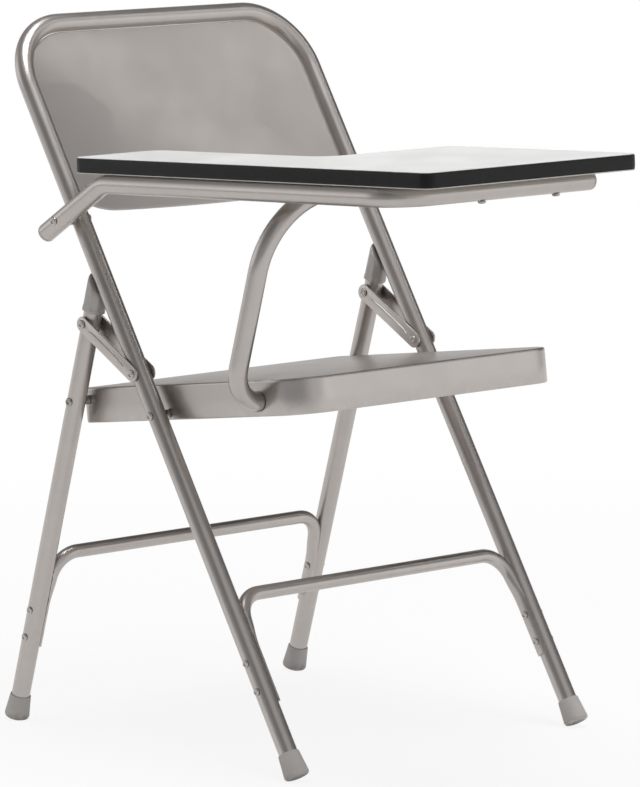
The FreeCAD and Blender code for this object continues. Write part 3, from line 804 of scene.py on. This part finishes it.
# A foot's (radius, height over its sole), from the middle of the sole round to the bottom of its socket
FOOT_CUP = [(0.5, 0.9), (6.6, 0.8), (8.4, 0.1), (11.2, 0), (12.7, 0.3), (13.9, 1.15), (14.65, 2.5),
            (14.88, 4.2), (14.3, 10), (13.5, 18), (12.8, 25.5), (12.45, 28.6), (12.2, 29.3), (11.85, 29.55),
            (11.45, 29.3), (11.25, 28.7), (11.25, 13.2), (0.5, 12.8)]
FOOT_SIDES = 56

# A leg cap's lower lip as (radius, height), and its slanted top as (radius, gap beyond CAP_CLEAR)
CAP_LIP = [(11.2, 0.3), (11.5, 0.0), (13.2, 0.0), (13.6, 0.4), (13.6, 4.6), (13.3, 5.4), (13.2, 6.2),
           (13.2, 14.0)]
CAP_SLANT = [(13.2, 4.6), (12.9, 2.4), (12.1, 0.9), (11.0, 0.2), (9.4, 0.0)]
CAP_CLEAR = TUBE_R + 0.4
CAP_CROSSING = 571.36
CAP_LENGTH = 49.8
CAP_FLAT = 12.15
CAP_SIDES = 64


def foot(place, sole, sign):
    """A rubber cup square to its leg, pressed flat where its edge stands on the floor."""
    points, faces = moved(turned(FOOT_CUP, FOOT_SIDES), place @ Matrix.Translation((sign * HALF, 0, sole)))
    return [Vector((p.x, p.y, max(p.z, 0.0))) for p in points], faces


def feet():
    for label, place, sole, body in (("front", POST, 1.51, "frame"), ("rear", REAR, -1.97, "rear_legs")):
        shape = together([foot(place, sole, sign) for sign in SIDES])
        nodes = ["%s_foot_cap_%s" % (label, side) for side in ("right", "left")]
        piece(label + "_feet", shape, RUBBER, body, nodes)


def sleeve(radius, sign):
    """A round section about the leg's axis, flattened at its sides, where the hinge links pass."""
    return [(sign * HALF + max(-CAP_FLAT, min(CAP_FLAT, x)), y) for x, y in circle(radius, CAP_SIDES)]


def leg_cap(sign):
    """A sleeve over the leg's top with a stepped lower lip and a top slanted to clear the post."""
    cross = math.radians(POST_LEAN + REAR_LEAN)
    low = CAP_CROSSING - CAP_LENGTH
    loops = [[(x, y, low + level) for x, y in sleeve(radius, sign)] for radius, level in CAP_LIP]
    for radius, more in CAP_SLANT:
        gap = CAP_CLEAR + more
        loops.append([(x, y, CAP_CROSSING + (math.cos(cross) * y - gap) / math.sin(cross))
                      for x, y in sleeve(radius, sign)])
    return moved(skin(loops), REAR)


def leg_caps():
    piece("leg_top_caps", together([leg_cap(sign) for sign in SIDES]), PLASTIC, "rear_legs",
          ["rear_leg_cap_right", "rear_leg_cap_left"])


# Hinge links

# A link's edge as (depth in from its outline, height), and its rib as (half width, shortening, height)
LINK_EDGE = [(0.7, 0.0), (0.15, 0.2), (0.0, 0.6), (0.0, 1.6), (0.15, 2.0), (0.7, LINK_SHEET)]
LINK_RIB = [(2.5, 0.0, 1.9), (2.35, 0.4, 2.25), (1.9, 1.6, 2.75), (1.2, 3.5, 3.05), (0.5, 6.0, 3.1)]
RIB_STOP = 13.0


def link_plate(length, half_width):
    near, far, radius = -half_width, length + half_width, half_width - 0.01
    corners = [(near, -half_width, radius), (far, -half_width, radius),
               (far, half_width, radius), (near, half_width, radius)]
    loops = []
    for depth, rise in LINK_EDGE:
        loops.append([(p.x, p.y, rise) for p in outline(inset(corners, depth), steps=14)])
    return skin(loops)


def link_rib(length):
    """A rib with pointed ends, swelling quickly to its full width."""
    middle, steps = length / 2, 24
    loops = []
    for width, shrink, rise in LINK_RIB:
        reach = middle - RIB_STOP - shrink
        line = [reach * (2 * i / steps - 1) for i in range(steps + 1)]
        swell = [width * (1 - abs(u / reach) ** 6) for u in line]
        upper = [(middle + u, v, rise) for u, v in zip(line, swell)]
        lower = [(middle + u, -v, rise) for u, v in zip(line, swell)]
        loops.append(upper[::-1] + lower[1:-1])
    return skin(loops)


def link(x_from, sign, half_width):
    """A round-ended plate from the post's pivot to the leg's, with a rib pressed up along its middle."""
    start, end = [(at_x(p, x_from) - CHAIR.translation) / MM for p in (POST_LINK_PIVOT, LEG_LINK_PIVOT)]
    line, flat, length = (end - start).normalized(), Vector((sign, 0, 0)), (end - start).length
    turn = Matrix((line, flat.cross(line), flat)).transposed().to_4x4()
    shapes = [link_plate(length, half_width), link_rib(length)]
    return moved(together(shapes), CHAIR @ Matrix.Translation(start) @ turn)


def hinge_links():
    shapes = []
    for sign in SIDES:
        shapes.append(link(sign * (OUTER + LINK_OUT), sign, LINK_HALF))
        shapes.append(link(sign * (INNER - LINK_OUT), -sign, HIDDEN_LINK_HALF))
    nodes = ["hinge_link_%s_%s" % (face, side) for face in ("outer", "inner") for side in ("right", "left")]
    piece("ribbed_hinge_links", together(shapes), ENAMEL, "hinge_links", nodes)


# Seat and back, their sheets as loops of (depth in from the outline, level)

SEAT_DEPTHS = (9, 18, 32, 50, 70, 90, 110, 130, 150, 170, 187)
SEAT_UNDER = [(depth, -1.4) for depth in SEAT_DEPTHS[::-1]]
SEAT_WALL = [(4.0, -2.3), (1.8, -4.6), (1.5, -7.0), (1.5, -39.6), (8.6, -39.8), (9.0, -40.3), (8.6, -40.9),
             (2.4, -41.5), (1.2, -41.3), (0.4, -40.6), (0.0, -39.6), (0.0, -20.0), (0.0, -4.0), (0.0, -2.4),
             (0.18, -1.5), (0.7, -0.7), (1.5, -0.18), (2.4, 0.0)]
SEAT_OVER = [(depth, 0.0) for depth in (4.5,) + SEAT_DEPTHS]

BACK_REAR = [(depth, 1.2) for depth in (116, 100, 85, 70, 55, 40, 26, 14, 5)]
BACK_RIM = [(4.6, 1.3), (4.3, 1.9), (3.8, 2.2), (0.9, 2.2), (0.3, 1.9), (0.0, 1.4), (0.0, 0.8), (0.2, 0.35),
            (0.7, 0.05), (1.4, 0.0)]
BACK_FRONT = [(depth, 0.0) for depth in (3, 8, 16, 28, 42, 56, 70, 85, 100, 116)]


def seat_crown(x, y):
    """How far the seat's sheet swells above its flat edge."""
    along = 2 * y / SEAT_LENGTH - 1
    return SEAT_CROWN * max(0.0, 1 - (x / SEAT_SIDE) ** 2) * max(0.0, 1 - along * along)


def seat_shell():
    """The pressed pan: crowned top, close-turned edge, skirt, turned-in hem and its inner side."""
    front_r, rear_r = 45, 12
    corners = [(-SEAT_SIDE, 0, front_r), (SEAT_SIDE, 0, front_r),
               (SEAT_SIDE, SEAT_LENGTH, rear_r), (-SEAT_SIDE, SEAT_LENGTH, rear_r)]
    loops = []
    for depth, level in SEAT_UNDER + SEAT_WALL + SEAT_OVER:
        crowned = depth >= SEAT_DEPTHS[0]
        loops.append([(p.x, p.y, level + (seat_crown(p.x, p.y) if crowned else 0.0))
                      for p in outline(inset(corners, depth), steps=14, along=(16,))])
    return moved(skin(loops), SEAT)


def strut_mouth(mesh):
    """Cuts the round mouth in the skirt through which the strut's foot passes."""
    place = facing(at_x(STRUT_PIVOT, -SEAT_SIDE), (1, 0, 0))
    bore = moved(turned([(MOUTH_R, -12.0), (MOUTH_R, 12.0)], TUBE_SIDES), place)
    drill, target = linked("drill", mesh_of("drill", bore)), linked("target", mesh)
    modifier = target.modifiers.new("mouth", "BOOLEAN")
    modifier.object = drill
    modifier.operation = "DIFFERENCE"
    modifier.solver = "EXACT"
    cut = evaluated(target)
    for obj in (drill, target):
        bpy.data.objects.remove(obj)
    return cut


def seat():
    mesh = strut_mouth(mesh_of("seat_shell", seat_shell()))
    mesh.name = "seat_pressed_pan"
    placed("seat_pressed_pan", mesh, ENAMEL, "seat", ["seat_pan"], sharp=32)


def back_panel():
    """The dished sheet of the backrest, deeper towards its free lower edge, its rim folded flat behind."""
    wide, low, high = 215.2, 720.9, 955.7
    low_r, high_r = 15, 68.3
    corners = [(-wide, low, low_r), (wide, low, low_r), (wide, high, high_r), (-wide, high, high_r)]

    def dish(x, s):
        """How far the sheet lies back: least at the top edge, most about a third of the way up."""
        up = (s - low) / (high - low)
        return (1.0 + 10.0 * (1 - up) + 26.0 * up * (1 - up)) * (1 - (x / wide) ** 2)

    def lifted(x, s):
        """The lower edge rises a little towards its corners."""
        rise, level_half, run = 12.5, 160, 55
        return s + rise * (max(0.0, abs(x) - level_half) / run) ** 2 * ((high - s) / (high - low)) ** 4

    loops = []
    for depth, back in BACK_REAR + BACK_RIM + BACK_FRONT:
        flat = outline(inset(corners, depth), steps=14, along=(40, 0))
        loops.append([(p.x, dish(p.x, p.y) + back, lifted(p.x, p.y)) for p in flat])
    shape = moved(skin(loops, rungs=True), POST)
    piece("back_dished_panel", shape, ENAMEL, "frame", ["backrest_panel"])


# Tablet, its layers as loops of (depth in from the outline, level)

TABLET_FACE = [(2.4, -0.8), (1.2, -0.8), (0.95, -0.5), (1.15, -0.15), (1.6, 0.0), (2.6, 0.0)]
TABLET_BAND = [(2.2, -0.9), (0.9, -0.85), (0.35, -1.3), (0.1, -2.6), (0.0, -5.0), (0.0, -13.6), (0.1, -15.8),
               (0.35, -16.8), (0.9, -17.2), (2.2, -17.25)]
TABLET_LOWER = [(2.6, -17.35), (0.5, -17.35), (0.25, -17.6), (0.25, -18.2), (0.6, -18.45), (1.5, -18.5),
                (3.0, -18.5)]
TABLET_SCREWS_X = (-132.4, -16.0)


def tablet_layer(levels, ring=False):
    outer, neck, inner = -264.0, -130.0, 70.0
    front, shoulder, rear = -475, -171, 116.5
    corners = [(outer, front, 14), (inner, front, 18), (inner, shoulder, 24), (neck, shoulder, 30),
               (neck, rear, 20), (outer, rear, 18)]
    loops = [[(p.x, p.y, z) for p in outline(inset(corners, depth), steps=12)] for depth, z in levels]
    return moved(skin(loops, ring), TABLET)


def tablet():
    piece("tablet_face", tablet_layer(TABLET_FACE), LAMINATE, "arm", ["tablet_laminate"])
    piece("tablet_edge_strip", tablet_layer(TABLET_BAND, True), EDGING, "arm", ["tablet_edge_band"])
    piece("tablet_underside", tablet_layer(TABLET_LOWER), BACKER, "arm", ["tablet_backer"])
    down = (TABLET.to_3x3() @ Vector((0, 0, -1))).normalized()
    below = ARM_DROP + TUBE_R + FIT
    spots = [(TABLET @ Vector((x, ARM_FRONT_Y, -below)), down) for x in TABLET_SCREWS_X]
    heads_piece("tablet_screw_heads", spots, PAN_SCREW, STEEL, "arm", ["tablet_screws"])


def kept_fittings():
    """Small fittings and the tablet's core, whose shape is already right, take their finish only."""
    fittings = {"seat_pivot_bushes": STEEL, "arm_spacer": STEEL, "strut_keeper": STEEL,
                "strut_rest_plate": STEEL, "tablet_core": CHIPS}
    for name, finish in fittings.items():
        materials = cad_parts[name].data.materials
        materials.clear()
        materials.append(finish)


# Floor, light and camera, in metres

FLOOR_REACH = 80.0
FLOOR_LEVEL = -0.0004
LAMP_AIM = Vector((0, 0, 0.45))

# Parts of the surround, dimmed or brightened: (direction, where it starts and is full, share or gain)
DIM_PATCHES = [((-0.97, -0.21, 0.12), 0.55, 0.9, 0.5), ((0.66, 0.73, 0.15), 0.45, 0.92, 0.6),
               ((0.80, -0.10, 0.58), 0.55, 0.95, 0.2)]
BRIGHT_PATCHES = [((0.66, -0.75, -0.02), 0.80, 0.99, 0.6), ((-0.10, -0.72, 0.68), 0.75, 0.95, 0.30),
                  ((-0.55, 0.835, 0.0), 0.78, 0.98, 0.55)]


def pale_floor():
    """White to the eye but for the chair's shadow; mirrored in the enamel it is dim at the sitter's right."""
    finish = Finish("pale_floor", Base_Color=(0.92, 0.92, 0.92, 1.0), Roughness=0.9, Specular_IOR_Level=0.0)
    seen = finish.make("ShaderNodeLightPath", out="Is Camera Ray")
    mirrored = finish.make("ShaderNodeLightPath", out="Is Glossy Ray")
    away = finish.make("ShaderNodeVectorMath", {"operation": "LENGTH"}, {0: finish.place()}, "Value")
    share = finish.range(away, 0.6, 2.4, 0.88, 1.0)
    ahead = finish.along(finish.place(), (-0.97, -0.21, 0.0))
    shaded = mirrored * finish.range(ahead, 1.95, 2.7)
    lit, unlit = [finish.make("ShaderNodeEmission", {}, {"Color": (tone, tone, tone, 1.0), "Strength": 1.0})
                  for tone in (1.0, 0.36)]
    glow = finish.make("ShaderNodeMixShader", {}, {0: shaded, 1: lit, 2: unlit})
    matte = Wire(finish, finish.shader.outputs[0])
    mixed = finish.make("ShaderNodeMixShader", {}, {0: (seen + mirrored) * share, 1: matte, 2: glow})
    finish.ends_in(mixed, "Material Output")
    return finish.material


def floor():
    sheet = bpy.data.meshes.new("floor")
    corners = [(-1, -1), (1, -1), (1, 1), (-1, 1)]
    points = [(x * FLOOR_REACH, y * FLOOR_REACH, FLOOR_LEVEL) for x, y in corners]
    sheet.from_pydata(points, [], [(0, 1, 2, 3)])
    obj = linked("floor", sheet)
    sheet.materials.append(pale_floor())


def surround():
    """White to the eye; as light it is dimmer overhead, with dim and bright patches round the chair."""
    world = bpy.data.worlds.new("studio")
    scene.world = world
    world.use_nodes = True
    sky = Nodes(world.node_tree)
    way = sky.make("ShaderNodeTexCoord", out="Generated")
    height = sky.make("ShaderNodeSeparateXYZ", {}, {0: way}, "Z")
    level = sky.make("ShaderNodeMapRange", {}, {0: height, 1: 0.0, 2: 0.6, 3: 0.88, 4: 0.28})
    for direction, start, full, share in DIM_PATCHES:
        level = level * sky.range(sky.along(way, direction), start, full, 1.0, share)
    for direction, start, full, gain in BRIGHT_PATCHES:
        level = level + sky.range(sky.along(way, direction), start, full, 0.0, gain)
    dim = sky.make("ShaderNodeBackground", {}, {"Color": level, "Strength": 1.0})
    white = sky.make("ShaderNodeBackground", {}, {"Color": (1, 1, 1, 1), "Strength": 1.0})
    seen = sky.make("ShaderNodeLightPath", out="Is Camera Ray")
    sky.ends_in(sky.make("ShaderNodeMixShader", {}, {0: seen, 1: dim, 2: white}), "World Output")


def lamp(name, place, power, width, height):
    data = bpy.data.lights.new(name, "AREA")
    data.shape = "RECTANGLE"
    data.size, data.size_y = width, height
    data.energy = power
    obj = linked(name, data)
    obj.location = place
    obj.rotation_euler = (LAMP_AIM - Vector(place)).to_track_quat("-Z", "Y").to_euler()


def lights():
    lamp("top_softbox", (0.0, -0.1, 3.3), 66.0, 1.6, 1.6)
    lamp("right_softbox", (2.11, -1.18, 2.6), 3.0, 0.42, 1.1)


def camera():
    data = bpy.data.cameras.new("camera")
    data.sensor_width = 36.0
    data.lens = 240.01
    data.clip_end = 300.0
    obj = linked("camera", data)
    obj.location = (-4.17515, -4.3932, 1.2616)
    obj.rotation_euler = (math.radians(82.0), 0.0, math.radians(-43.18))
    scene.camera = obj
    scene.view_settings.view_transform = "Standard"


bow_frame()
rear_legs()
strut()
arm()
braces()
rivets()
feet()
leg_caps()
hinge_links()
seat()
back_panel()
tablet()
kept_fittings()
floor()
surround()
lights()
camera()
